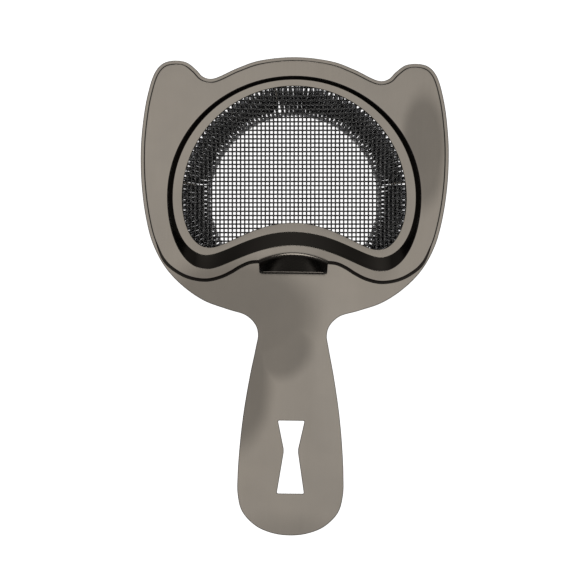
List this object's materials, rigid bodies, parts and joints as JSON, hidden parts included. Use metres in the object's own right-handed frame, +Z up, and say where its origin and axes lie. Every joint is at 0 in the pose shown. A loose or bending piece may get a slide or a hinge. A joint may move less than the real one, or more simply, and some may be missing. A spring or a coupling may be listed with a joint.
{
  "type": "hawthorne strainer",
  "caption": "Eared bar strainer with a flat handle, a coil spring under its mouth and a lift-out fine-mesh plate with a finger tab.",
  "frame": {"origin": "middle of the outline, at the height of the coil spring's lowest point", "axes": "+Y from the handle towards the ears, +X to the right seen from above, +Z up out of the mesh"},
  "size_m": [0.1082, 0.168, 0.0257],
  "materials": {
    "plated_steel": "polished gunmetal plating",
    "mesh_wire": "gunmetal plated wire",
    "spring_wire": "gunmetal plated spring wire"
  },
  "bodies": {
    "handle_body": {"handle_plate": "plated_steel", "spring_anchor_right": "plated_steel", "spring_anchor_left": "plated_steel", "spring_clip_right": "plated_steel", "spring_clip_front": "plated_steel", "spring_clip_left": "plated_steel"},
    "mesh_insert": {"mesh_plate": "plated_steel", "mesh_cloth": "mesh_wire", "mesh_clamp_ring": "plated_steel"},
    "spring_body": {"coil_spring": "spring_wire"}
  },
  "joints": [
    {"name": "mesh_plate_lift", "type": "slide", "parent": "handle_body", "child": "mesh_insert", "axis": [0, 0, 1], "range_m": [0, 0.03]},
    {"name": "spring_squeeze", "type": "slide", "parent": "handle_body", "child": "spring_body", "axis": [0, -1, 0], "range_m": [0, 0.004], "stiffness_N_per_m": 600, "deforming": ["coil_spring"]}
  ]
}
